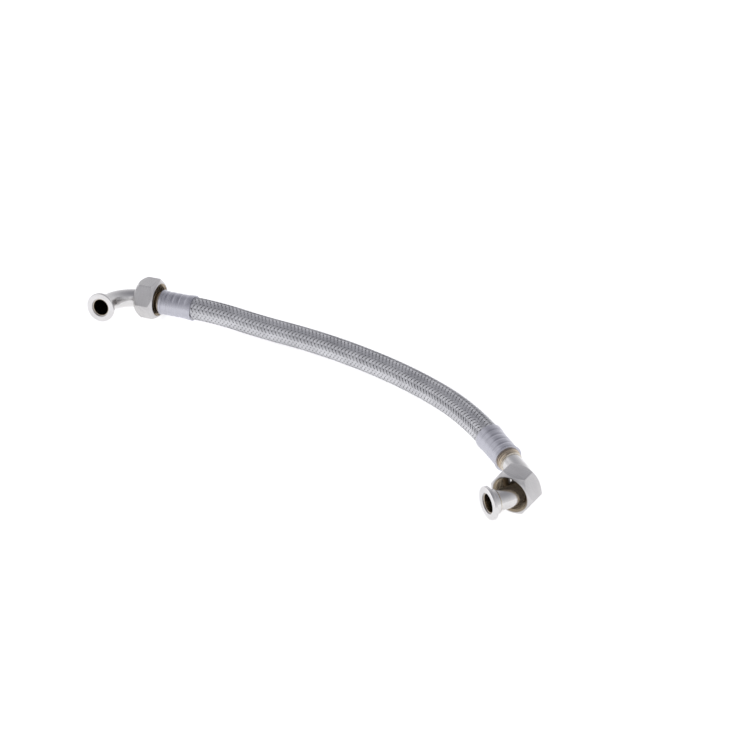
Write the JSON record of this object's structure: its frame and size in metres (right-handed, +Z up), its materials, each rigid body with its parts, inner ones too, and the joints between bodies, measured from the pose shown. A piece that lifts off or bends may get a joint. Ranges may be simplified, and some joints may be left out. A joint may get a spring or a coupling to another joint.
{
  "type": "braided supply line",
  "caption": "Flexible braided hose with crimped ferrules, a bent flanged tube and a loose hexagon union nut at each end, for connecting water services.",
  "frame": {"origin": "middle of the floor space that the line covers, on the floor that its nuts and hose rest on", "axes": "+X runs from the left bend to the right bend, +Z up, +Y towards the outside of the hose's curve"},
  "size_m": [0.4232, 0.1053, 0.033],
  "materials": {
    "braid_steel": "bright woven wire",
    "ferrule_steel": "polished",
    "plated_brass": "nickel plated, bright",
    "braze_metal": "nickel plated over filler metal",
    "liner_rubber": "matt"
  },
  "bodies": {
    "line": {"liner": "liner_rubber", "braid": "braid_steel", "left_ferrule": "ferrule_steel", "left_hose_tail": "plated_brass", "left_tail_braze": "braze_metal", "left_bent_tube": "plated_brass", "left_flange_braze": "braze_metal", "left_flange": "plated_brass", "right_ferrule": "ferrule_steel", "right_hose_tail": "plated_brass", "right_tail_braze": "braze_metal", "right_bent_tube": "plated_brass", "right_flange_braze": "braze_metal", "right_flange": "plated_brass"},
    "left_nut": {"left_union_nut": "plated_brass"},
    "right_nut": {"right_union_nut": "plated_brass"}
  },
  "joints": [
    {"name": "left_nut_spin", "type": "hinge", "parent": "line", "child": "left_nut", "pos_m": [-0.18505, -0.00534, 0.0157], "axis": [0.9431, 0.3324, 0], "continuous": true},
    {"name": "right_nut_spin", "type": "hinge", "parent": "line", "child": "right_nut", "pos_m": [0.19401, -0.02253, 0.015], "axis": [0.0569, -0.9984, 0], "continuous": true}
  ]
}
